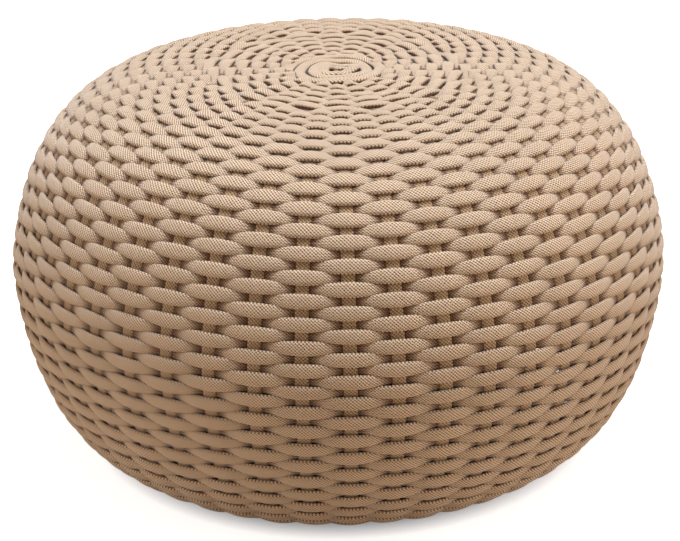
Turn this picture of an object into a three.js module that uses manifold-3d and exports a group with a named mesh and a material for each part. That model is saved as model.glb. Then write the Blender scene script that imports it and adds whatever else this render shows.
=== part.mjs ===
// Round outdoor footstool, woven from flat cord over a cage of thin flat ribs.
// Millimetres, +Z up. The origin is on the floor, under the middle of the stool.
import * as THREE from 'three';
import { mergeVertices } from 'three/addons/utils/BufferGeometryUtils.js';
import Module from 'manifold-3d';

// Body of the stool, measured on the middle of the ribs
const frameDiameter = 582;      // widest circle
const crownRise = 162;          // widest circle up to the middle of the crown
const footDepth = 174;          // widest circle down to the tip of the lower curve
const crownRadiusPower = 6.1;   // the two curves are superellipses, squarer below than above
const crownHeightPower = 1.5;
const footRadiusPower = 7.9;
const footHeightPower = 1.61;

// Where the ribs have their bends: shares of the widest radius above, of the belly's height below
const crownBendShares = [0.56, 0.71, 0.815, 0.9, 0.968];
const footBendShares = [0.4, 0.71, 0.89, 1];

// Ribs: 24 run from the hub to the base ring, 24 short ones start where the crown has room
const longRibCount = 24;
const ribWidth = 12;            // at the widest circle, in proportion to the radius elsewhere
const ribTipWidth = 4;          // never narrower than this near the hub
const ribThickness = 4;

// Flat cord that is woven over one rib and under the next
const cordWidth = 12.2;         // where it lies over a rib
const cordThickness = 4;
const coursePitch = 10.9;       // from one course of weave to the next, along a rib
const cordGap = 0.5;            // between neighbouring courses
const innerTurns = 3;           // turns of each cord over the long ribs alone
const lengthTurns = [9, 8];     // turns in a length of cord, the last length takes the rest
const cordJoint = 0.6;          // between the ends of two lengths, behind a rib

// Spiral of the same cord that covers the hub
const coilCordWidth = 10.9;
const coilPitch = 11.7;
const coilStart = 6.6;          // radius of the innermost loop's beginning
const coilSteps = 24;           // for a loop

// Hub, base ring, rib hoop and glides
const hubBossRadius = 40;
const hubFlangeWidth = 10;
const hubFlangeThickness = 3;
const hubSegments = 20;
const ringOuterRadius = 214;
const ringWidth = 28;
const ringThickness = 4;
const ringSegments = 36;
const ribOverhang = 2;          // the ribs come down to the base this far outside the ring
const hoopInset = 1;            // from the ring's inner edge
const hoopWidth = 8;
const glideCount = 6;
const glideInset = 10;          // from the ring's outer edge to the middle of a glide
const glideRadius = 13;
const glideHeight = 4;
const pegRadius = 4;
const glideSegments = 8;

const seatGap = 0.3;            // between pieces that rest on each other
const footGap = 1;              // between the long ribs' ends and the hoop
const overrun = 1;              // how far a cutter stands out of what it cuts
const leastTurnGap = 0.4;       // that the coil keeps to itself

// Figures that follow from the sizes above
const ribCount = 2 * longRibCount;
const ribRadius = frameDiameter / 2;
const ringInnerRadius = ringOuterRadius - ringWidth;
const glideCircleRadius = ringOuterRadius - glideInset;
const ringTop = glideHeight + seatGap + ringThickness;
const feetLevel = ringTop + seatGap + ribThickness / 2;
// The lower curve ends where its radius has come in to the base ring
const footRadiusShare = (ringOuterRadius + ribOverhang) / ribRadius;
const footCutShare = (1 - footRadiusShare ** footRadiusPower) ** (1 / footHeightPower);
const bellyLevel = feetLevel + footCutShare * footDepth;
const ribAngle = 2 * Math.PI / ribCount;
const halfRibShare = ribWidth / 2 / (ribRadius * ribAngle);
// A cord runs straight from rib to rib. Its nearest face has this depth over or under a rib's
// middle, so that it just clears the rib's edges.
const passDepth = (ribThickness / 2 + seatGap + halfRibShare * cordThickness
  + ribWidth / 2 * Math.tan(ribAngle / 2)) / (1 - 2 * halfRibShare);
const underWidth = 2 * (coursePitch - cordGap) - cordWidth;
const pairedWidth = coursePitch - cordGap;   // where two neighbours lie over the same rib

// A piece's geometry from rings of points: walls between the rings and a fan at each end
function skin(rings) {
  const count = rings[0].length;
  const points = rings.flat();
  const faces = [];
  for (let i = 0; i + 1 < rings.length; i += 1) {
    for (let j = 0; j < count; j += 1) {
      const a = i * count + j;
      const b = i * count + (j + 1) % count;
      faces.push([a, b, b + count], [a, b + count, a + count]);
    }
  }
  const last = points.length - count;
  for (let j = 1; j + 1 < count; j += 1) {
    faces.push([0, j + 1, j], [last, last + j, last + j + 1]);
  }
  return outward(points, faces);
}

// Faces are turned round where they enclose a negative volume
function outward(points, faces) {
  let volume = 0;
  for (const [a, b, c] of faces) {
    volume += points[a].dot(new THREE.Vector3().crossVectors(points[b], points[c]));
  }
  const index = faces.flatMap(([a, b, c]) => (volume < 0 ? [a, c, b] : [a, b, c]));
  const geometry = new THREE.BufferGeometry().setFromPoints(points);
  geometry.setIndex(index);
  return geometry;
}

const wasm = await Module();
wasm.setup();

function solid(geometry) {
  const bare = geometry.clone();
  bare.deleteAttribute('normal');
  bare.deleteAttribute('uv');
  const merged = mergeVertices(bare);
  return new wasm.Manifold(new wasm.Mesh({
    numProp: 3,
    vertProperties: new Float32Array(merged.attributes.position.array),
    triVerts: new Uint32Array(merged.index.array),
  }));
}

function fromSolid(body) {
  const mesh = body.getMesh();
  const geometry = new THREE.BufferGeometry();
  geometry.setAttribute('position', new THREE.BufferAttribute(mesh.vertProperties, 3));
  geometry.setIndex(new THREE.BufferAttribute(mesh.triVerts, 1));
  return geometry;
}

// A turned piece about Z from an outline of radius and height
function turned(outline, segments) {
  const points = outline.map(([radius, height]) => new THREE.Vector2(radius, height));
  return new THREE.LatheGeometry(points, segments).rotateX(Math.PI / 2);
}

// Meridian of the ribs, from the hub over the crown and the belly to the base ring
function crownPoint(radius) {
  const share = radius / ribRadius;
  const rise = crownRise * (1 - share ** crownRadiusPower) ** (1 / crownHeightPower);
  return new THREE.Vector2(radius, bellyLevel + rise);
}

function footPoint(share) {
  const radius = ribRadius * (1 - share ** footHeightPower) ** (1 / footRadiusPower);
  return new THREE.Vector2(radius, bellyLevel - footDepth * share);
}

const ribStart = hubBossRadius + seatGap;
const hoopInnerRadius = ringInnerRadius + hoopInset;
const hoopOuterRadius = hoopInnerRadius + hoopWidth;
const bends = [
  crownPoint(ribStart),
  ...crownBendShares.map((share) => crownPoint(share * ribRadius)),
  crownPoint(ribRadius),
  ...footBendShares.map((share) => footPoint(share * footCutShare)),
  new THREE.Vector2(hoopOuterRadius + footGap, feetLevel),
];

// Distance along the meridian at each bend, and the mitred outward direction there
const bendPlaces = [0];
const legNormals = [];
for (let i = 0; i + 1 < bends.length; i += 1) {
  const leg = bends[i + 1].clone().sub(bends[i]);
  bendPlaces.push(bendPlaces[i] + leg.length());
  leg.normalize();
  legNormals.push(new THREE.Vector2(-leg.y, leg.x));
}
const bendNormals = bends.map((bend, i) => {
  const before = legNormals[Math.max(i - 1, 0)];
  const after = legNormals[Math.min(i, legNormals.length - 1)];
  return before.clone().add(after).divideScalar(1 + before.dot(after));
});

// The point at a distance along the meridian, lifted outward by a depth, as radius and height
function onMeridian(place, depth) {
  let leg = 0;
  while (leg + 2 < bendPlaces.length && place > bendPlaces[leg + 1]) leg += 1;
  const share = (place - bendPlaces[leg]) / (bendPlaces[leg + 1] - bendPlaces[leg]);
  const point = bends[leg].clone().lerp(bends[leg + 1], share);
  const normal = bendNormals[leg].clone().lerp(bendNormals[leg + 1], share);
  return point.addScaledVector(normal, depth);
}

function around(angle, radius, height, aside = 0) {
  return new THREE.Vector3(
    radius * Math.cos(angle) - aside * Math.sin(angle),
    radius * Math.sin(angle) + aside * Math.cos(angle),
    height,
  );
}

// Courses: the two cords start on opposite sides and chase each other, two pitches in a turn
const hubRadius = hubBossRadius + hubFlangeWidth;
const firstPlace = hubRadius - ribStart + seatGap + cordWidth / 2;
const lastPlace = bendPlaces[bendPlaces.length - 2] - cordWidth / 2;
const stationCount = Math.floor(ribCount * (lastPlace - firstPlace) / (2 * coursePitch));
const innerStations = innerTurns * ribCount;

function coursePlace(station) {
  return firstPlace + 2 * coursePitch * station / ribCount;
}

// A short rib starts under the first course that takes it in
function shortRibStart(rib) {
  const secondHalf = rib > ribCount / 2;
  const firstStation = innerStations + rib - (secondHalf ? ribCount / 2 : 0);
  return coursePlace(firstStation) - underWidth / 2;
}

// Flat bar that follows the meridian, in proportion to the radius
function ribBar(rib, start, end) {
  const places = [start, ...bendPlaces.filter((place) => place > start && place < end), end];
  const angle = rib * ribAngle;
  const rings = places.map((place) => {
    const middle = onMeridian(place, 0);
    const half = Math.max(ribTipWidth, ribWidth * middle.x / ribRadius) / 2;
    const outer = onMeridian(place, ribThickness / 2);
    const inner = onMeridian(place, -ribThickness / 2);
    return [
      around(angle, outer.x, outer.y, half),
      around(angle, outer.x, outer.y, -half),
      around(angle, inner.x, inner.y, -half),
      around(angle, inner.x, inner.y, half),
    ];
  });
  return skin(rings);
}

// The short ribs, all carried by the hoop that lies on the base ring
function ribCage() {
  const low = feetLevel - ribThickness / 2;
  const high = feetLevel + ribThickness / 2;
  let cage = solid(turned([
    [hoopInnerRadius, low],
    [hoopOuterRadius, low],
    [hoopOuterRadius, high],
    [hoopInnerRadius, high],
    [hoopInnerRadius, low],
  ], longRibCount));
  const footLength = footGap + hoopWidth / 2;
  for (let rib = 1; rib < ribCount; rib += 2) {
    const end = bendPlaces[bendPlaces.length - 1] + footLength;
    cage = cage.add(solid(ribBar(rib, shortRibStart(rib), end)));
  }
  return fromSolid(cage);
}

// One length of cord, with a station at each rib that it crosses. Cord 0 goes over the long
// ribs and cord 1 under them. Inside, on the long ribs alone, each goes over every second one.
function cordStations(cord) {
  const stations = [];
  const first = cord * ribCount / 2;
  for (let step = 0; step <= stationCount; step += 1) {
    const rib = (first + step) % ribCount;
    const inner = step <= innerStations;
    if (inner && rib % 2) continue;
    const over = inner ? rib % 4 === 2 * cord : rib % 2 === cord;
    const shared = rib % 4 === 2 && Math.abs(step - innerStations) <= ribCount;
    const overWidth = shared ? pairedWidth : cordWidth;
    stations.push({ step, angle: rib * ribAngle, over, width: over ? overWidth : underWidth });
  }
  return stations;
}

// Three points: the flat face of the cord and the keel of its back
function cordSection({ step, angle, over, width }) {
  const place = coursePlace(step);
  const back = over ? passDepth : -passDepth - cordThickness;
  const low = onMeridian(place - width / 2, back + cordThickness);
  const high = onMeridian(place + width / 2, back + cordThickness);
  const keel = onMeridian(place, back);
  return [low, high, keel].map((point) => around(angle, point.x, point.y));
}

function between(ringA, ringB, distance) {
  const share = distance / ringA[2].distanceTo(ringB[2]);
  return ringA.map((point, i) => point.clone().lerp(ringB[i], share));
}

function cordLengths(cord) {
  const stations = cordStations(cord);
  const rings = stations.map(cordSection);
  const lengths = [];
  let from = 0;
  let limit = 0;
  for (const turns of [...lengthTurns, Infinity]) {
    limit += turns * ribCount;
    let to = from;
    while (to + 1 < stations.length && stations[to].step < limit) to += 1;
    while (stations[to].over && to + 1 < stations.length) to += 1;
    const length = rings.slice(from, to + 1);
    if (from > 0) length[0] = between(rings[from], rings[from + 1], cordJoint / 2);
    if (to + 1 < stations.length) {
      length[length.length - 1] = between(rings[to], rings[to - 1], cordJoint / 2);
    }
    lengths.push(skin(length));
    from = to;
  }
  return lengths;
}

// Flat spiral over the hub, a six-sided section that lies level on the ribs' tips
const coilOuterRadius = hubRadius - seatGap;
const coilLevel = onMeridian(0, ribThickness / 2).y + seatGap;

function centreCoil() {
  const endRadius = coilOuterRadius - coilCordWidth / 2;
  const loops = (endRadius - coilStart) / coilPitch;
  const steps = Math.round(loops * coilSteps);
  const rings = [];
  for (let i = 0; i <= steps; i += 1) {
    const angle = 2 * Math.PI * loops * i / steps;
    const radius = coilStart + coilPitch * loops * i / steps;
    const section = [];
    for (let side = 0; side < 6; side += 1) {
      const turn = Math.PI * side / 3;
      section.push(around(
        angle,
        radius + coilCordWidth / 2 * Math.cos(turn),
        coilLevel + cordThickness / 2 * (1 + Math.sin(turn) / Math.sin(Math.PI / 3)),
      ));
    }
    rings.push(section);
  }
  reportTurnGap(rings);
  return skin(rings);
}

// Least distance from a loop's outer edge to the next loop's inner edge
function reportTurnGap(rings) {
  let least = Infinity;
  rings.forEach((ring, i) => {
    rings.slice(i + coilSteps / 2).forEach((other) => {
      least = Math.min(least, ring[0].distanceTo(other[3]));
    });
  });
  console.log(`centre_coil least gap to itself ${least.toFixed(2)} mm, wanted ${leastTurnGap}`);
}

// Hub under the coil: the ribs lie on its flange and end at its boss
function hubPlate() {
  const flangeTop = onMeridian(hubRadius - ribStart, -ribThickness / 2).y - seatGap;
  return turned([
    [0, flangeTop - hubFlangeThickness],
    [hubRadius, flangeTop - hubFlangeThickness],
    [hubRadius, flangeTop],
    [hubBossRadius, flangeTop],
    [hubBossRadius, coilLevel - seatGap],
    [0, coilLevel - seatGap],
  ], hubSegments);
}

function glideAngle(number) {
  return (2 * Math.PI * number) / glideCount + ribAngle / 2;
}

function placeGlide(mesh, number) {
  const angle = glideAngle(number);
  mesh.position.copy(around(angle, glideCircleRadius, 0));
  return mesh;
}

// Base ring: a flat ring with a hole for each glide's peg
function baseRing() {
  const low = glideHeight + seatGap;
  let ring = solid(turned([
    [ringInnerRadius, low],
    [ringOuterRadius, low],
    [ringOuterRadius, ringTop],
    [ringInnerRadius, ringTop],
    [ringInnerRadius, low],
  ], ringSegments));
  const drill = new THREE.CylinderGeometry(
    pegRadius + seatGap,
    pegRadius + seatGap,
    ringThickness + 2 * overrun,
    glideSegments,
  ).rotateX(Math.PI / 2);
  for (let number = 0; number < glideCount; number += 1) {
    const centre = around(glideAngle(number), glideCircleRadius, low + ringThickness / 2);
    ring = ring.subtract(solid(drill.clone().translate(centre.x, centre.y, centre.z)));
  }
  return fromSolid(ring);
}

// Push-in glide: a disc on the floor with a peg up through the base ring
function glide() {
  return turned([
    [0, 0],
    [glideRadius, 0],
    [glideRadius, glideHeight],
    [pegRadius, glideHeight],
    [pegRadius, ringTop],
    [0, ringTop],
  ], glideSegments);
}

// Materials
const cordMaterial = new THREE.MeshStandardMaterial({ color: 0xb89c80, roughness: 0.85 });
const frameMaterial = new THREE.MeshStandardMaterial({
  color: 0x6e5a48,
  roughness: 0.55,
  metalness: 0.3,
});
const glideMaterial = new THREE.MeshStandardMaterial({ color: 0x2a2724, roughness: 0.6 });

// Assembly
const stool = new THREE.Group();

function addPiece(name, geometry, material) {
  const mesh = new THREE.Mesh(geometry, material);
  mesh.name = name;
  stool.add(mesh);
  return mesh;
}

addPiece('hub_plate', hubPlate(), frameMaterial);
addPiece('centre_coil', centreCoil(), cordMaterial);
for (let i = 0; i < longRibCount; i += 1) {
  const name = `rib_${String(i + 1).padStart(2, '0')}`;
  addPiece(name, ribBar(2 * i, 0, bendPlaces[bendPlaces.length - 1]), frameMaterial);
}
addPiece('short_rib_cage', ribCage(), frameMaterial);
addPiece('base_ring', baseRing(), frameMaterial);
cordLengths(0).forEach((geometry, i) => addPiece(`weft_a_${i + 1}`, geometry, cordMaterial));
cordLengths(1).forEach((geometry, i) => addPiece(`weft_b_${i + 1}`, geometry, cordMaterial));
for (let i = 0; i < glideCount; i += 1) {
  placeGlide(addPiece(`glide_${i + 1}`, glide(), glideMaterial), i);
}

export default stool;
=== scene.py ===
# Round footstool woven from flat braided cord, seen as a catalogue picture.
import math
import bpy
from mathutils import Matrix, Vector


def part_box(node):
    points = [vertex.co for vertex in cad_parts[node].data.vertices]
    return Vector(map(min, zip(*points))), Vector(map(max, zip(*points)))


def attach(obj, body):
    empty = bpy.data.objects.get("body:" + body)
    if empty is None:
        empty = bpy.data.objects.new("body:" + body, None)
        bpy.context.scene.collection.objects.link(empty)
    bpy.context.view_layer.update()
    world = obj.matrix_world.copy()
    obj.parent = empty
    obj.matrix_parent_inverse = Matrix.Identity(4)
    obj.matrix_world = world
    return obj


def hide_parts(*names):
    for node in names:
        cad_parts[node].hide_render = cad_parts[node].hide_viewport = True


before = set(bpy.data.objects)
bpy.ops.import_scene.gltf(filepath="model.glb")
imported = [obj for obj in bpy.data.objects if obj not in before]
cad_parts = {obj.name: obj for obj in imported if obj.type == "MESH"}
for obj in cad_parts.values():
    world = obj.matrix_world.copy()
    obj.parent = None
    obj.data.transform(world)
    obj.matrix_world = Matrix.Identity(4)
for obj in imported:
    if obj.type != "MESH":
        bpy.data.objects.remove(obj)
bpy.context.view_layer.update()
print("frame loaded:", len(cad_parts), "nodes")

mm = 0.001


# Adds a node, gives it its settings and inputs, and returns the output in use. A kind in
# capitals is an operation of the Math node.
def addNode(tree, kind, inputs=(), **settings):
    node = tree.nodes.new("ShaderNodeMath" if kind.isupper() else kind)
    if kind.isupper():
        node.operation = kind
    for name, value in settings.items():
        setattr(node, name, value)
    named = inputs.items() if isinstance(inputs, dict) else enumerate(inputs)
    for key, value in named:
        if isinstance(value, bpy.types.NodeSocket):
            tree.links.new(value, node.inputs[key])
        else:
            node.inputs[key].default_value = value
    return next((output for output in node.outputs if output.enabled), node)


# A Geometry Nodes tree that takes a mesh, named numbers and a material
def newTree(name, sizes):
    tree = bpy.data.node_groups.new(name, "GeometryNodeTree")
    face = tree.interface
    face.new_socket("Geometry", in_out="INPUT", socket_type="NodeSocketGeometry")
    for label in sizes:
        face.new_socket(label, in_out="INPUT", socket_type="NodeSocketFloat")
    face.new_socket("Material", in_out="INPUT", socket_type="NodeSocketMaterial")
    face.new_socket("Geometry", in_out="OUTPUT", socket_type="NodeSocketGeometry")
    source = tree.nodes.new("NodeGroupInput")
    return tree, source.outputs


# Runs a tree on a mesh and keeps the result as a plain mesh with the modifier gone
def growPiece(name, seedMesh, tree, sizes, material):
    maker = bpy.data.objects.new(name + "_maker", seedMesh)
    bpy.context.scene.collection.objects.link(maker)
    modifier = maker.modifiers.new("grow", "NODES")
    modifier.node_group = tree
    for item in tree.interface.items_tree:
        if item.in_out == "INPUT" and item.name in sizes:
            modifier[item.identifier] = float(sizes[item.name])
        if item.in_out == "INPUT" and item.name == "Material":
            modifier[item.identifier] = material
    graph = bpy.context.evaluated_depsgraph_get()
    mesh = bpy.data.meshes.new_from_object(maker.evaluated_get(graph), depsgraph=graph)
    bpy.data.objects.remove(maker)
    mesh.name = name
    piece = bpy.data.objects.new(name, mesh)
    bpy.context.scene.collection.objects.link(piece)
    return piece


def lineMesh(points):
    mesh = bpy.data.meshes.new("line")
    mesh.from_pydata(points, [(i, i + 1) for i in range(len(points) - 1)], [])
    return mesh


# The point on the woven body: a distance along the ribs' line, a lift off it and an angle
def onBody(tree, source, place, lift, angle):
    path = addNode(tree, "GeometryNodeMeshToCurve", [source["Geometry"]])
    spot = addNode(tree, "GeometryNodeSampleCurve", {
        "Curves": path, "Length": place}, mode="LENGTH", use_all_curves=True).node.outputs
    at = addNode(tree, "ShaderNodeSeparateXYZ", [spot["Position"]]).node.outputs
    run = addNode(tree, "ShaderNodeSeparateXYZ", [spot["Tangent"]]).node.outputs
    inward = addNode(tree, "MULTIPLY", [run["Z"], lift])
    radius = addNode(tree, "SUBTRACT", [at["X"], inward])
    height = addNode(tree, "MULTIPLY_ADD", [run["X"], lift, at["Z"]])
    east = addNode(tree, "MULTIPLY", [radius, addNode(tree, "COSINE", [angle])])
    north = addNode(tree, "MULTIPLY", [radius, addNode(tree, "SINE", [angle])])
    return addNode(tree, "ShaderNodeCombineXYZ", [east, north, height]), radius


# Closed tube whose points take their positions from the shares along it and round it
def sweep(tree, source, count, sides, position, across, raised):
    run = addNode(tree, "GeometryNodeCurvePrimitiveLine", {"End": (0, 0, 1)})
    run = addNode(tree, "GeometryNodeResampleCurve", {"Curve": run, "Count": count})
    spline = addNode(tree, "GeometryNodeSplineParameter").node.outputs
    run = addNode(tree, "GeometryNodeStoreNamedAttribute", {
        "Geometry": run, "Name": "run", "Value": spline["Factor"]})
    run = addNode(tree, "GeometryNodeSetPosition", {"Geometry": run, "Position": position})
    run = addNode(tree, "GeometryNodeStoreNamedAttribute", {
        "Geometry": run, "Name": "along", "Value": spline["Length"]})
    ring = addNode(tree, "GeometryNodeCurvePrimitiveCircle", {"Resolution": sides, "Radius": 0.1})
    ring = addNode(tree, "GeometryNodeStoreNamedAttribute", {
        "Geometry": ring, "Name": "side", "Value": spline["Factor"]})
    tube = addNode(tree, "GeometryNodeCurveToMesh", {
        "Curve": run, "Profile Curve": ring, "Fill Caps": True})
    tube = addNode(tree, "GeometryNodeSetPosition", {"Geometry": tube, "Position": position})
    for name, value in (("across", across), ("raised", raised)):
        tube = addNode(tree, "GeometryNodeStoreNamedAttribute", {
            "Geometry": tube, "Name": name, "Value": value})
    tube = addNode(tree, "GeometryNodeSetShadeSmooth", {"Geometry": tube})
    tube = addNode(tree, "GeometryNodeRealizeInstances", {"Geometry": tube})
    tube = addNode(tree, "GeometryNodeSetMaterial", {
        "Geometry": tube, "Material": source["Material"]})
    addNode(tree, "NodeGroupOutput", {"Geometry": tube})


# Real colours are given as sRGB hex and turned to linear values
def colour(text):
    parts = [int(text[i:i + 2], 16) / 255 for i in (0, 2, 4)]
    return tuple(p / 12.92 if p <= 0.04045 else ((p + 0.055) / 1.055) ** 2.4 for p in parts) + (1,)


def newMaterial(name):
    material = bpy.data.materials.new(name)
    material.use_nodes = True
    tree = material.node_tree
    return material, tree, tree.nodes["Principled BSDF"]


# Flat braided polyester cord: slanting rows of yarn crossings with small pits between, heathered,
# and folded lengthwise where it has dived between its neighbours; painted shade makes it darker
# and warmer there and on its sides
def braidMaterial(name, look):
    material, tree, surface = newMaterial(name)
    along = addNode(tree, "ShaderNodeAttribute", attribute_name="along").node.outputs["Fac"]
    across = addNode(tree, "ShaderNodeAttribute", attribute_name="across").node.outputs["Fac"]
    raised = addNode(tree, "ShaderNodeAttribute", attribute_name="raised").node.outputs["Fac"]
    where = addNode(tree, "ShaderNodeTexCoord").node.outputs["Object"]

    rows = addNode(tree, "MULTIPLY", [along, math.tau / look["cellAlong"]])
    files = addNode(tree, "MULTIPLY", [across, math.tau / look["cellAcross"]])
    twill = addNode(tree, "COSINE", [addNode(tree, "SUBTRACT", [rows, files])])
    counter = addNode(tree, "COSINE", [addNode(tree, "ADD", [rows, files])])
    twill = addNode(tree, "MULTIPLY_ADD", [counter, look["counterShare"], twill])
    yarn = addNode(tree, "ShaderNodeMapRange", {
        "Value": twill, "From Min": -1.0, "From Max": look["pitShare"]})

    heather = addNode(tree, "ShaderNodeTexNoise", {
        "Vector": where, "Scale": 1 / look["heatherSize"], "Detail": 2.0})
    flecks = addNode(tree, "ShaderNodeMapRange", {
        "Value": heather, "From Min": look["fleckFrom"], "From Max": look["noiseHigh"],
        "To Max": look["fleckShare"]})
    patch = addNode(tree, "ShaderNodeTexNoise", {
        "Vector": where, "Scale": 1 / look["patchSize"], "Detail": 1.0})
    shade = addNode(tree, "ShaderNodeMapRange", {
        "Value": patch, "From Min": look["noiseLow"], "From Max": look["noiseHigh"],
        "To Min": look["patchLow"]})
    tone = addNode(tree, "ShaderNodeMix", {
        0: yarn, 6: colour(look["pit"]), 7: colour(look["yarn"])}, data_type="RGBA")
    tone = addNode(tree, "ShaderNodeMix", {
        0: flecks, 6: tone, 7: colour(look["fleck"])}, data_type="RGBA")
    # Painted shade: a darker, warmer tint multiplied in where the cord lies low or turns its side
    # away
    shadeMask = addNode(tree, "ShaderNodeMapRange", {
        "Value": raised, "From Min": look["shadeFrom"], "From Max": look["shadeFull"]})
    tone = addNode(tree, "ShaderNodeMix", {
        0: shadeMask, 6: tone, 7: colour(look["recessShade"])}, data_type="RGBA", blend_type="MULTIPLY")
    tone = addNode(tree, "ShaderNodeVectorMath", {0: tone, "Scale": shade}, operation="SCALE")

    fold = addNode(tree, "COSINE", [
        addNode(tree, "MULTIPLY", [across, math.tau / look["foldSpacing"]])])
    fold = addNode(tree, "MULTIPLY", [fold, addNode(tree, "SUBTRACT", [1.0, raised])])
    relief = addNode(tree, "MULTIPLY_ADD", [fold, look["foldRelief"] / look["relief"], yarn])
    bump = addNode(tree, "ShaderNodeBump", {
        "Strength": 1.0, "Distance": look["relief"], "Height": relief})
    tree.links.new(tone, surface.inputs["Base Color"])
    tree.links.new(bump, surface.inputs["Normal"])
    surface.inputs["Roughness"].default_value = look["roughness"]
    surface.inputs["Specular IOR Level"].default_value = look["specular"]
    surface.inputs["Sheen Weight"].default_value = look["sheen"]
    surface.inputs["Sheen Roughness"].default_value = look["sheenRoughness"]
    return material


# The braid's cells are about 1.6 mm on a real cord, drawn nearly twice as coarse to show at all
cordLook = {
    "cellAlong": 3 * mm,
    "cellAcross": 3 * mm,
    "counterShare": 0.65,        # of the rows that slant the other way
    "pitShare": 0.5,             # height above which the yarn has its own colour
    "heatherSize": 1.3 * mm,
    "patchSize": 60 * mm,
    "yarn": "F0CEAC",
    "pit": "70503A",
    "fleck": "F6E0C6",
    "fleckFrom": 0.35,           # noise value above which flecks of it show
    "fleckShare": 0.35,
    "patchLow": 0.94,            # brightness of the darker patches
    "noiseLow": 0.3,
    "noiseHigh": 0.7,
    # painted shade: the tint that darkens the cord where it lies low
    "recessShade": "8A6542",
    "shadeFrom": 0.45,          # height share under which the painted shade starts to darken the cord
    "shadeFull": 0.08,
    "relief": 0.5 * mm,
    "foldSpacing": 2.9 * mm,
    "foldRelief": 0.4 * mm,
    "roughness": 0.85,
    "specular": 0.25,
    "sheen": 0.6,                # short loose fibres on the yarn catch the light
    "sheenRoughness": 0.35,
}

# The ribs' sleeve is the same braid without folds; its deeper yarn colours are painted shade,
# for the shade it lies in under the cords
strapLook = {**cordLook, "yarn": "E2BE98", "pit": "7A5A3C", "fleck": "D8B896", "foldRelief": 0.0}
cordBraid = braidMaterial("braided polyester cord, sand", cordLook)
strapBraid = braidMaterial("braided polyester rib sleeve, sand", strapLook)


# A dull even finish with a fine grain, that catches a broken highlight
def coatedMaterial(name, look):
    material, tree, surface = newMaterial(name)
    where = addNode(tree, "ShaderNodeTexCoord").node.outputs["Object"]
    peel = addNode(tree, "ShaderNodeTexNoise", {
        "Vector": where, "Scale": 1 / look["grain"], "Detail": 2.0})
    bump = addNode(tree, "ShaderNodeBump", {
        "Strength": look["strength"], "Distance": look["depth"], "Height": peel})
    dull = addNode(tree, "ShaderNodeMapRange", {
        "Value": peel, "To Min": look["roughness"] - look["unevenness"],
        "To Max": look["roughness"] + look["unevenness"]})
    tree.links.new(bump, surface.inputs["Normal"])
    tree.links.new(dull, surface.inputs["Roughness"])
    surface.inputs["Base Color"].default_value = colour(look["tone"])
    return material


# Powder coating has a fine orange peel, moulded plastic a finer grain
coatLook = {"tone": "5E4A3A", "roughness": 0.5, "unevenness": 0.08, "grain": 0.8 * mm,
            "strength": 0.3, "depth": 0.05 * mm}
glideLook = {**coatLook, "tone": "1E1C1A", "roughness": 0.6, "grain": 0.4 * mm}
frameCoat = coatedMaterial("powder-coated aluminium, brown", coatLook)
glidePlastic = coatedMaterial("moulded polyethylene glide, black", glideLook)
print("materials made")


# The shape that the ribs follow, as in the construction: sizes of the ribs' middle line
body = {
    "ribCount": 48,              # every second one is short and starts on the crown
    "ribRadius": 291 * mm,
    "ribThickness": 3 * mm,      # in its sleeve
    "crownRise": 162 * mm,
    "footDepth": 174 * mm,
    "crownPowers": (6.1, 1.5),   # superellipse powers for radius and height
    "footPowers": (7.9, 1.61),
    "footOverhang": 2 * mm,      # where the ribs come down, outside the base ring
    "footEnd": 20 * mm,          # level part that lies on the base ring
    "footEndPoints": 8,
    "lift": 2.8 * mm,            # this cord is finer than the solids', so the ribs lie further out
    "liftFade": 20 * mm,
}


def lengthOf(points):
    return sum((b - a).length for a, b in zip(points, points[1:]))


# The middle line of the ribs in the XZ plane, from the axis over the crown to the base ring
def meridian(count=160):
    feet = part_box("rib_01")[0].z + body["ribThickness"] / 2
    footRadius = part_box("base_ring")[1].x + body["footOverhang"]
    radiusPower, heightPower = body["footPowers"]
    footCut = (1 - (footRadius / body["ribRadius"]) ** radiusPower) ** (1 / heightPower)
    belly = feet + footCut * body["footDepth"]
    lower = []
    for i in range(count + 1):
        share = footCut * i / count
        radius = body["ribRadius"] * (1 - share ** heightPower) ** (1 / radiusPower)
        lower.append(Vector((radius, 0, belly - body["footDepth"] * share)))
    radiusPower, heightPower = body["crownPowers"]
    upper = []
    for i in range(count):
        share = math.sin(math.pi / 2 * i / count)
        rise = body["crownRise"] * (1 - share ** radiusPower) ** (1 / heightPower)
        upper.append(Vector((body["ribRadius"] * share, 0, belly + rise)))
    count = body["footEndPoints"]
    inward = [Vector((body["footEnd"] * (i + 1) / count, 0, 0)) for i in range(count)]
    return upper + lower + [lower[-1] - step for step in inward]


# The same line pushed outward, except where it lies on the base ring
def pushedOut(points, amount):
    left = lengthOf(points) - body["footEnd"]
    outward = []
    for i, point in enumerate(points):
        run = points[min(i + 1, len(points) - 1)] - points[max(i - 1, 0)]
        normal = Vector((-run.z, 0, run.x)).normalized()
        outward.append(point + normal * amount * min(1, max(0, left / body["liftFade"])))
        if i + 1 < len(points):
            left -= (points[i + 1] - point).length
    return outward


line = pushedOut(meridian(), body["lift"])
lineLength = lengthOf(line)
placeOf = [lengthOf(line[:i + 1]) for i in range(len(line))]
print("meridian:", len(line), "points,", round(lineLength / mm), "mm long")


def placeAtRadius(radius):
    return next(place for place, point in zip(placeOf, line) if point.x >= radius)


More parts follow.
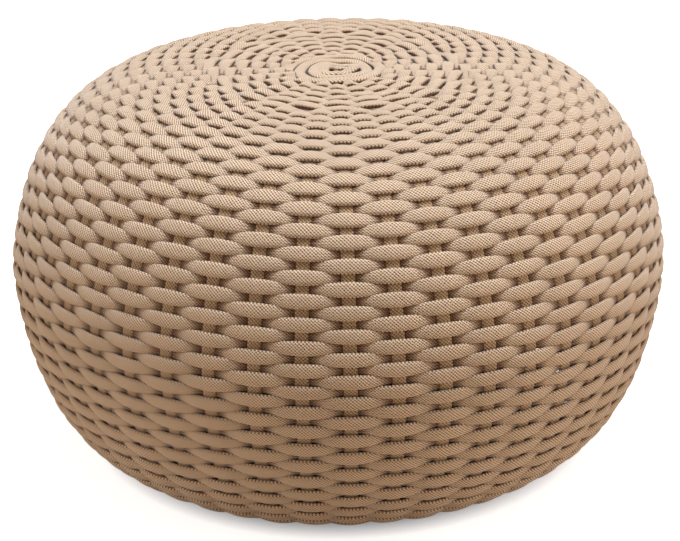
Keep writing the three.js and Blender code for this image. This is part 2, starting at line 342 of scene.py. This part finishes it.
# Woven cord: flat outdoor braid, over one rib and under the next
cord = {
    "width": 12.1 * mm,          # flat, where it lies over a rib
    "waist": 10.8 * mm,          # where it has dived under the next one
    "hubWaist": 9.4 * mm,        # the same near the hub
    "pinch": 1.6 * mm,           # how much narrower it is halfway down than between the two
    "thickness": 4 * mm,
    "waistThickness": 7.8 * mm,
    "swing": 3.7 * mm,           # of the cord's middle off the ribs' line
    "hubSwing": 3.1 * mm,        # pressed flat where the crown's ribs crowd together
    "shallowness": 0.25,         # how much flatter and longer it arches over a rib than under
    "fullness": 0.6,             # how much squarer than an ellipse its section is
    "edgeWrap": 0.1,             # how much further its pattern goes at the edges
    "edgeShade": 0.9,            # how much lower the section's underside counts for its painted shade
    "hubEdgeShade": 2.4,         # the same near the hub, where its sides lie closer together
    "hubDive": 0.3,              # how much of its dive counts for its painted shade there
    "flatEnd": 60 * mm,          # along the ribs: where the weave begins to open, and has opened
    "openFrom": 260 * mm,
    "turns": 30.5,               # of each of the two cords, hub to base
    "innerTurns": 4,             # of them over the long ribs alone
    "crownCloser": 0.069,        # share by which courses are closer at the crown
    "endsCloser": 0.065,         # and at both ends
    "hubRadius": 54.4 * mm,      # where the first course lies
    "tuckedSteps": 46,           # ribs that each cord passes before, under the spiral's rim
    "samples": 8,                # points for each rib that is crossed
    "sides": 12,
    "wander": 1 * mm,            # uneven hand tension: sideways, in lift and in width
    "liftWander": 0.7 * mm,
    "widthWander": 0.09,
    "crownUnevenness": 3.8,      # times as much on the crown
    "wanderRate": 0.45,          # of the noise, from one rib to the next
    "seed": 7.0,
    "seedApart": 500.0,          # from one cord to the other
}
cordSizes = {
    "Width": cord["width"], "Waist": cord["waist"], "Hub waist": cord["hubWaist"],
    "Pinch": cord["pinch"], "Thickness": cord["thickness"],
    "Waist thickness": cord["waistThickness"], "Swing": cord["swing"],
    "Hub swing": cord["hubSwing"], "Flat end": cord["flatEnd"], "Open from": cord["openFrom"],
    "Wander": cord["wander"], "Lift wander": cord["liftWander"],
}


# The woven cord: waves over and under the ribs while it climbs two courses in a turn
def wovenCordTree():
    tree, source = newTree("woven cord", [
        "First step", "Last step", "Cord", "Total steps", "First place", "Span", *cordSizes])
    reach = addNode(tree, "SUBTRACT", [source["Last step"], source["First step"]])
    count = addNode(tree, "MULTIPLY_ADD", [reach, float(cord["samples"]), 1.0])
    run = addNode(tree, "GeometryNodeInputNamedAttribute", {"Name": "run"})
    side = addNode(tree, "GeometryNodeInputNamedAttribute", {"Name": "side"})
    step = addNode(tree, "MULTIPLY_ADD", [run, reach, source["First step"]])
    station = addNode(tree, "MULTIPLY_ADD", [source["Cord"], body["ribCount"] / 2, step])
    angle = addNode(tree, "MULTIPLY", [station, math.tau / body["ribCount"]])
    share = addNode(tree, "DIVIDE", [step, source["Total steps"]])

    # Over every second rib, and near the hub over every second long rib
    outer = addNode(tree, "SUBTRACT", [station, source["Cord"]])
    outer = addNode(tree, "COSINE", [addNode(tree, "MULTIPLY", [outer, math.pi])])
    inner = addNode(tree, "MULTIPLY_ADD", [source["Cord"], -2.0, station])
    inner = addNode(tree, "COSINE", [addNode(tree, "MULTIPLY", [inner, math.pi / 2])])
    isOuter = addNode(tree, "GREATER_THAN", [step, cord["innerTurns"] * body["ribCount"]])
    change = addNode(tree, "SUBTRACT", [outer, inner])
    wave = addNode(tree, "MULTIPLY_ADD", [change, isOuter, inner])
    bulge = addNode(tree, "MULTIPLY_ADD", [wave, wave, -1.0])
    wave = addNode(tree, "MULTIPLY_ADD", [bulge, -cord["shallowness"], wave])

    # Place along the ribs: courses are closest at the hub
    climb = addNode(tree, "SINE", [addNode(tree, "MULTIPLY", [share, math.pi])])
    climb = addNode(tree, "MULTIPLY_ADD", [climb, -cord["crownCloser"] / math.pi, share])
    sway = addNode(tree, "SINE", [addNode(tree, "MULTIPLY", [share, math.tau])])
    climb = addNode(tree, "MULTIPLY_ADD", [sway, -cord["endsCloser"] / math.tau, climb])
    place = addNode(tree, "MULTIPLY_ADD", [climb, source["Span"], source["First place"]])
    openness = addNode(tree, "ShaderNodeMapRange", {
        "Value": place, "From Min": source["Flat end"], "From Max": source["Open from"],
    }, interpolation_type="SMOOTHSTEP")

    # Uneven hand tension, more of it on the crown
    uneven = addNode(tree, "MULTIPLY_ADD", [
        openness, 1 - cord["crownUnevenness"], cord["crownUnevenness"]])
    spot = addNode(tree, "MULTIPLY_ADD", [source["Cord"], cord["seedApart"], cord["seed"]])
    spot = addNode(tree, "MULTIPLY_ADD", [station, cord["wanderRate"], spot])
    noise = addNode(tree, "ShaderNodeTexNoise", {
        "W": spot, "Scale": 1.0, "Detail": 1.0}, noise_dimensions="1D").node.outputs["Color"]
    wander = addNode(tree, "ShaderNodeVectorMath", [noise, (0.5, 0.5, 0.5)], operation="SUBTRACT")
    wander = addNode(tree, "ShaderNodeVectorMath", {
        0: wander, "Scale": uneven}, operation="SCALE")
    wander = addNode(tree, "ShaderNodeSeparateXYZ", [wander]).node.outputs

    # Section: flat and wide over a rib, narrower and thick where it has dived, and pinched
    # halfway, where raised times the rest of it comes to a quarter
    raised = addNode(tree, "MULTIPLY_ADD", [wave, 0.5, 0.5])
    waist = addNode(tree, "ShaderNodeMix", {
        0: openness, 2: source["Hub waist"], 3: source["Waist"]})
    width = addNode(tree, "ShaderNodeMix", {0: raised, 2: waist, 3: source["Width"]})
    halfway = addNode(tree, "MULTIPLY", [raised, addNode(tree, "SUBTRACT", [1.0, raised])])
    halfway = addNode(tree, "MULTIPLY", [halfway, source["Pinch"]])
    width = addNode(tree, "MULTIPLY_ADD", [halfway, -4.0, width])
    stretch = addNode(tree, "MULTIPLY_ADD", [wander["Z"], cord["widthWander"], 1.0])
    halfWidth = addNode(tree, "MULTIPLY", [width, addNode(tree, "MULTIPLY", [stretch, 0.5])])
    thickness = addNode(tree, "ShaderNodeMix", {
        0: raised, 2: source["Waist thickness"], 3: source["Thickness"]})
    halfDepth = addNode(tree, "MULTIPLY", [thickness, 0.5])
    turn = addNode(tree, "MULTIPLY", [side, math.tau])
    sine = addNode(tree, "SINE", [turn])
    cosine = addNode(tree, "COSINE", [turn])
    edge = addNode(tree, "MULTIPLY", [sine, sine])
    fuller = addNode(tree, "MULTIPLY_ADD", [edge, -cord["fullness"], -1.0])
    depth = addNode(tree, "MULTIPLY", [cosine, addNode(tree, "MULTIPLY", [halfDepth, fuller])])

    swing = addNode(tree, "ShaderNodeMix", {
        0: openness, 2: source["Hub swing"], 3: source["Swing"]})
    lift = addNode(tree, "MULTIPLY_ADD", [wave, swing, depth])
    lift = addNode(tree, "MULTIPLY_ADD", [wander["Y"], source["Lift wander"], lift])
    aside = addNode(tree, "MULTIPLY_ADD", [sine, halfWidth, place])
    aside = addNode(tree, "MULTIPLY_ADD", [wander["X"], source["Wander"], aside])
    position, _ = onBody(tree, source, aside, lift, angle)

    # The braid's own width, for its pattern, and its painted shade: darker the deeper the cord
    # has dived, and on the section's underside and sides
    wrap = addNode(tree, "MULTIPLY_ADD", [edge, cord["edgeWrap"], 1.0])
    across = addNode(tree, "MULTIPLY", [sine, addNode(tree, "MULTIPLY", [source["Width"], 0.5])])
    across = addNode(tree, "MULTIPLY", [wrap, across])
    dive = addNode(tree, "MULTIPLY_ADD", [openness, 1 - cord["hubDive"], cord["hubDive"]])
    shadeAmount = addNode(tree, "MULTIPLY", [dive, addNode(tree, "SUBTRACT", [1.0, raised])])
    sideShade = addNode(tree, "MULTIPLY_ADD", [
        openness, (cord["edgeShade"] - cord["hubEdgeShade"]) / 2, cord["hubEdgeShade"] / 2])
    sideShade = addNode(tree, "MULTIPLY", [sideShade, addNode(tree, "ADD", [cosine, 1.0])])
    shadeAmount = addNode(tree, "MULTIPLY_ADD", [sideShade, raised, shadeAmount])
    raised = addNode(tree, "SUBTRACT", [1.0, shadeAmount])
    sweep(tree, source, count, cord["sides"], position, across, raised)
    return tree


# Each cord in three pieces, split behind a rib at the same places as the construction's
cordTree = wovenCordTree()
totalSteps = round(cord["turns"] * body["ribCount"])
firstPlace = placeAtRadius(cord["hubRadius"])
lastPlace = lineLength - body["footEnd"] - cord["width"] / 2
climbSpan = lastPlace - firstPlace


def stepPlace(step):
    share = step / totalSteps
    closer = cord["crownCloser"] * math.sin(math.pi * share) / math.pi
    swayed = cord["endsCloser"] * math.sin(math.tau * share) / math.tau
    return firstPlace + climbSpan * (share - closer - swayed)


def splitStep(which, distance):
    step = next(s for s in range(totalSteps) if stepPlace(s) >= firstPlace + distance)
    return step if step % 2 != which else step + 1


cordSplits = (196 * mm, 371 * mm)
bodyLine = lineMesh(line)
for which, letter in enumerate("ab"):
    ends = [-cord["tuckedSteps"] - 2 * which, *(splitStep(which, split) for split in cordSplits),
            totalSteps]
    for part in range(len(ends) - 1):
        name = f"weft_{letter}_{part + 1}"
        sizes = {**cordSizes, "First step": ends[part], "Last step": ends[part + 1],
                 "Cord": which, "Total steps": totalSteps, "First place": firstPlace,
                 "Span": climbSpan}
        piece = growPiece("braid_" + name, bodyLine, cordTree, sizes, cordBraid)
        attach(piece, "root")
        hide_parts(name)
        print(piece.name, len(piece.data.polygons), "faces")


# Ribs: thin flat bars in a sleeve of the same braid
strap = {
    "width": 11.8 * mm,
    "leastWidth": 3 * mm,
    "share": 0.05,               # of the radius, where the ribs crowd together on the crown
    "thickness": body["ribThickness"],
    "fullness": 0.3,
    "step": 3 * mm,
    "sides": 12,
    "raised": 0.5,               # height share that its painted shade follows, less where it is narrow, so it is drawn darker there
}
strapSizes = {"Least width": strap["leastWidth"], "Full width": strap["width"],
              "Spacing share": strap["share"], "Thickness": strap["thickness"]}


# A strap along a rib's line, as wide as the ribs' spacing lets it be
def strapTree():
    tree, source = newTree("rib strap", ["From", "To", "Angle", "Samples", *strapSizes])
    run = addNode(tree, "GeometryNodeInputNamedAttribute", {"Name": "run"})
    side = addNode(tree, "GeometryNodeInputNamedAttribute", {"Name": "side"})
    reach = addNode(tree, "SUBTRACT", [source["To"], source["From"]])
    place = addNode(tree, "MULTIPLY_ADD", [run, reach, source["From"]])
    turn = addNode(tree, "MULTIPLY", [side, math.tau])
    sine = addNode(tree, "SINE", [turn])
    edge = addNode(tree, "MULTIPLY", [sine, sine])
    fuller = addNode(tree, "MULTIPLY_ADD", [edge, strap["fullness"], 1.0])
    lift = addNode(tree, "MULTIPLY", [source["Thickness"], -0.5])
    lift = addNode(tree, "MULTIPLY", [addNode(tree, "COSINE", [turn]), lift])
    lift = addNode(tree, "MULTIPLY", [lift, fuller])
    centre, radius = onBody(tree, source, place, lift, source["Angle"])
    width = addNode(tree, "MULTIPLY", [radius, source["Spacing share"]])
    width = addNode(tree, "MAXIMUM", [width, source["Least width"]])
    width = addNode(tree, "MINIMUM", [width, source["Full width"]])
    aside = addNode(tree, "MULTIPLY", [sine, addNode(tree, "MULTIPLY", [width, 0.5])])
    left = addNode(tree, "MULTIPLY", [addNode(tree, "SINE", [source["Angle"]]), -1.0])
    ahead = addNode(tree, "COSINE", [source["Angle"]])
    push = addNode(tree, "ShaderNodeCombineXYZ", [left, ahead])
    push = addNode(tree, "ShaderNodeVectorMath", {0: push, "Scale": aside}, operation="SCALE")
    position = addNode(tree, "ShaderNodeVectorMath", [centre, push], operation="ADD")
    # Painted shade: the narrower the sleeve, the lower it counts and the darker it is drawn
    raised = addNode(tree, "DIVIDE", [width, source["Full width"]])
    raised = addNode(tree, "MULTIPLY", [raised, strap["raised"]])
    sweep(tree, source, source["Samples"], strap["sides"], position, aside, raised)
    return tree


# A piece for each long rib, and the short ones joined as one
strapShape = strapTree()


def growStrap(name, rib, start):
    sizes = {**strapSizes, "From": start, "To": lineLength,
             "Angle": math.tau * rib / body["ribCount"],
             "Samples": round((lineLength - start) / strap["step"])}
    return growPiece(name, bodyLine, strapShape, sizes, strapBraid)


ribStart = placeAtRadius(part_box("rib_01")[0].x)
for i in range(body["ribCount"] // 2):
    piece = growStrap(f"sleeved_rib_{i + 1:02d}", 2 * i, ribStart)
    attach(piece, "root")
    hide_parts(f"rib_{i + 1:02d}")

shorts = []
for rib in range(1, body["ribCount"], 2):
    innerSteps = round(cord["innerTurns"] * body["ribCount"])
    step = innerSteps + (rib - innerSteps) % (body["ribCount"] // 2)
    shorts.append(growStrap(f"short_rib_{rib}", rib, stepPlace(step) - cord["width"] / 2))
bpy.ops.object.select_all(action="DESELECT")
for piece in shorts:
    piece.select_set(True)
bpy.context.view_layer.objects.active = shorts[0]
bpy.ops.object.join()
cage = shorts[0]
cage.name = "sleeved_short_ribs"
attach(cage, "root")
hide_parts("short_rib_cage")
print("ribs made:", len(cage.data.polygons), "faces in the short ones")

# Spiral of the cord over the hub
coil = {
    "start": 3.6 * mm,
    "pitch": 11.4 * mm,
    "turns": 3.5,
    "width": 10.7 * mm,
    "thickness": 4.8 * mm,
    "fullness": 0.5,
    "middleShade": 0.2,          # height share of the section's sides, for the painted shade that darkens them
    "topShade": 0.8,             # how much more its top has
    "lift": 1.4 * mm,
    "wobble": 11 * mm,
    "liftWobble": 6 * mm,
    "wobbleScale": 3.2,
    "longer": 3.4 * mm,          # the innermost loop is folded longer than it is wide
    "samplesPerTurn": 72,
    "sides": 12,
    "seed": 3.0,
}
coilSizes = {
    "Start radius": coil["start"], "Pitch": coil["pitch"], "Turns": coil["turns"],
    "Samples": round(coil["turns"] * coil["samplesPerTurn"]), "Width": coil["width"],
    "Thickness": coil["thickness"], "Lift": coil["lift"], "Wobble": coil["wobble"],
    "Lift wobble": coil["liftWobble"], "Longer": coil["longer"],
}


# The spiral that covers the hub, a hand-laid cord that isn't quite even
def coilTree():
    tree, source = newTree("centre coil", coilSizes)
    run = addNode(tree, "GeometryNodeInputNamedAttribute", {"Name": "run"})
    side = addNode(tree, "GeometryNodeInputNamedAttribute", {"Name": "side"})
    turns = addNode(tree, "MULTIPLY", [run, source["Turns"]])
    angle = addNode(tree, "MULTIPLY", [turns, math.tau])
    noise = addNode(tree, "ShaderNodeTexNoise", {
        "W": addNode(tree, "ADD", [turns, coil["seed"]]), "Scale": coil["wobbleScale"],
        "Detail": 1.0}, noise_dimensions="1D").node.outputs["Color"]
    wander = addNode(tree, "ShaderNodeVectorMath", [noise, (0.5, 0.5, 0.5)], operation="SUBTRACT")
    wander = addNode(tree, "ShaderNodeSeparateXYZ", [wander]).node.outputs
    section = addNode(tree, "MULTIPLY", [side, math.tau])
    sine = addNode(tree, "SINE", [section])
    cosine = addNode(tree, "COSINE", [section])
    # Painted shade: the section's sides and underside count lower and are drawn darker than its
    # top
    raised = addNode(tree, "MULTIPLY_ADD", [cosine, -coil["topShade"], coil["middleShade"]])
    edge = addNode(tree, "MULTIPLY", [sine, sine])
    fuller = addNode(tree, "MULTIPLY_ADD", [edge, coil["fullness"], 1.0])
    lift = addNode(tree, "MULTIPLY", [source["Thickness"], -0.5])
    lift = addNode(tree, "MULTIPLY", [cosine, lift])
    lift = addNode(tree, "MULTIPLY_ADD", [lift, fuller, source["Lift"]])
    lift = addNode(tree, "MULTIPLY_ADD", [wander["Y"], source["Lift wobble"], lift])
    across = addNode(tree, "MULTIPLY", [sine, addNode(tree, "MULTIPLY", [source["Width"], 0.5])])
    place = addNode(tree, "MULTIPLY_ADD", [turns, source["Pitch"], source["Start radius"]])
    place = addNode(tree, "MULTIPLY_ADD", [wander["X"], source["Wobble"], place])
    longer = addNode(tree, "COSINE", [addNode(tree, "MULTIPLY", [angle, 2.0])])
    longer = addNode(tree, "MULTIPLY", [longer, addNode(tree, "SUBTRACT", [1.0, run])])
    place = addNode(tree, "MULTIPLY_ADD", [longer, source["Longer"], place])
    position, _ = onBody(tree, source, addNode(tree, "ADD", [place, across]), lift, angle)
    sweep(tree, source, source["Samples"], coil["sides"], position, across, raised)
    return tree


spiral = growPiece("braid_centre_coil", bodyLine, coilTree(), coilSizes, cordBraid)
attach(spiral, "root")
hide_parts("centre_coil")

# Parts that show as they were built
for name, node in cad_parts.items():
    if name in ("hub_plate", "base_ring"):
        node.data.materials.clear()
        node.data.materials.append(frameCoat)
    if name.startswith("glide"):
        node.data.materials.clear()
        node.data.materials.append(glidePlastic)
print("pieces made")

# Camera
view = {
    "centre": Vector((0, 0, 174.15 * mm)),
    "distance": 1.736,
    "elevation": 22.44,
    "azimuth": -1.52,
    "lens": 98.75,
    "sensor": 36,
    "nearest": 0.05,
    "furthest": 50,
    "down": 0.882,               # the aim is a little under and beside the belly's middle
    "right": 0.036,
    "roll": -1.0,
}
rise, turn = math.radians(view["elevation"]), math.radians(view["azimuth"])
back = Vector((math.sin(turn) * math.cos(rise), -math.cos(turn) * math.cos(rise), math.sin(rise)))
cameraData = bpy.data.cameras.new("camera")
cameraData.lens = view["lens"]
cameraData.sensor_width = view["sensor"]
cameraData.clip_start = view["nearest"]
cameraData.clip_end = view["furthest"]
camera = bpy.data.objects.new("camera", cameraData)
bpy.context.scene.collection.objects.link(camera)
aim = (-back).to_track_quat("-Z", "Y").to_matrix().to_4x4()
aim = aim @ Matrix.Rotation(math.radians(-view["down"]), 4, "X")
aim = aim @ Matrix.Rotation(math.radians(-view["right"]), 4, "Y")
aim = aim @ Matrix.Rotation(math.radians(view["roll"]), 4, "Z")
camera.matrix_world = Matrix.Translation(view["centre"] + back * view["distance"]) @ aim
bpy.context.scene.camera = camera

# Light: a white room, a large soft lamp overhead and a weak one on each side
light = {
    "ambient": 0.2,
    "walls": "FFF4E8",           # as the stool is lit by them
    "top": {"place": (0.3, 0.05, 2.3), "size": 1.8, "watts": 75, "tone": "ECF5FF"},
    "right": {"place": (2.3, -0.5, 0.8), "size": 1.4, "watts": 20, "tone": "FFF2E4"},
    "left": {"place": (-2.3, -0.3, 0.8), "size": 1.4, "watts": 17, "tone": "FFF2E4"},
}
world = bpy.data.worlds.new("white room")
bpy.context.scene.world = world
world.use_nodes = True
tree = world.node_tree
room = tree.nodes["Background"]
rays = addNode(tree, "ShaderNodeLightPath").node.outputs
seen = addNode(tree, "ShaderNodeMapRange", {
    "Value": rays["Is Camera Ray"], "To Min": light["ambient"]})
tree.links.new(seen, room.inputs["Strength"])
walls = addNode(tree, "ShaderNodeMix", {
    0: rays["Is Camera Ray"], 6: colour(light["walls"]), 7: (1, 1, 1, 1)}, data_type="RGBA")
tree.links.new(walls, room.inputs["Color"])
for name in ("top", "right", "left"):
    lamp = bpy.data.lights.new(name + " softbox", "AREA")
    lamp.size = light[name]["size"]
    lamp.energy = light[name]["watts"]
    lamp.color = colour(light[name]["tone"])[:3]
    holder = bpy.data.objects.new(name + " softbox", lamp)
    bpy.context.scene.collection.objects.link(holder)
    holder.location = light[name]["place"]
    holder.rotation_euler = (view["centre"] - holder.location).to_track_quat("-Z", "Y").to_euler()

# Floor: white to the camera, with painted light (a glow seen only by the camera) outside the base
# ring that washes the stool's shadow out to a faint one, and painted shade (a dark brown) inside
# the ring, where the stool shades it. The light that it throws back is a pale brown.
floorLook = {"halfSize": 6.0, "drop": 0.5 * mm, "seen": "FFFFFF", "under": "4A3A2C",
             "thrown": "CEB89E", "glow": 0.8, "glowFrom": 0.2, "glowFull": 0.24, "roughness": 0.9}
floorMesh = bpy.data.meshes.new("floor")
half = floorLook["halfSize"]
corners = [(-half, -half, 0), (half, -half, 0), (half, half, 0), (-half, half, 0)]
floorMesh.from_pydata(corners, [], [(0, 1, 2, 3)])
floor = bpy.data.objects.new("floor", floorMesh)
bpy.context.scene.collection.objects.link(floor)
floor.location.z = -floorLook["drop"]
material, tree, surface = newMaterial("white studio floor")
isCamera = addNode(tree, "ShaderNodeLightPath").node.outputs["Is Camera Ray"]
where = addNode(tree, "ShaderNodeTexCoord").node.outputs["Object"]
away = addNode(tree, "ShaderNodeVectorMath", [where], operation="LENGTH")
clear = addNode(tree, "ShaderNodeMapRange", {
    "Value": away, "From Min": floorLook["glowFrom"], "From Max": floorLook["glowFull"]})
tone = addNode(tree, "ShaderNodeMix", {
    0: clear, 6: colour(floorLook["under"]), 7: colour(floorLook["seen"])}, data_type="RGBA")
tone = addNode(tree, "ShaderNodeMix", {
    0: isCamera, 6: colour(floorLook["thrown"]), 7: tone}, data_type="RGBA")
# Painted light: emission that only the camera sees, outside the ring
glow = addNode(tree, "MULTIPLY", [clear, isCamera])
glow = addNode(tree, "MULTIPLY", [glow, floorLook["glow"]])
tree.links.new(tone, surface.inputs["Base Color"])
tree.links.new(glow, surface.inputs["Emission Strength"])
surface.inputs["Emission Color"].default_value = (1, 1, 1, 1)
surface.inputs["Roughness"].default_value = floorLook["roughness"]
floorMesh.materials.append(material)

bpy.context.scene.view_settings.view_transform = "Standard"
print("scene ready")
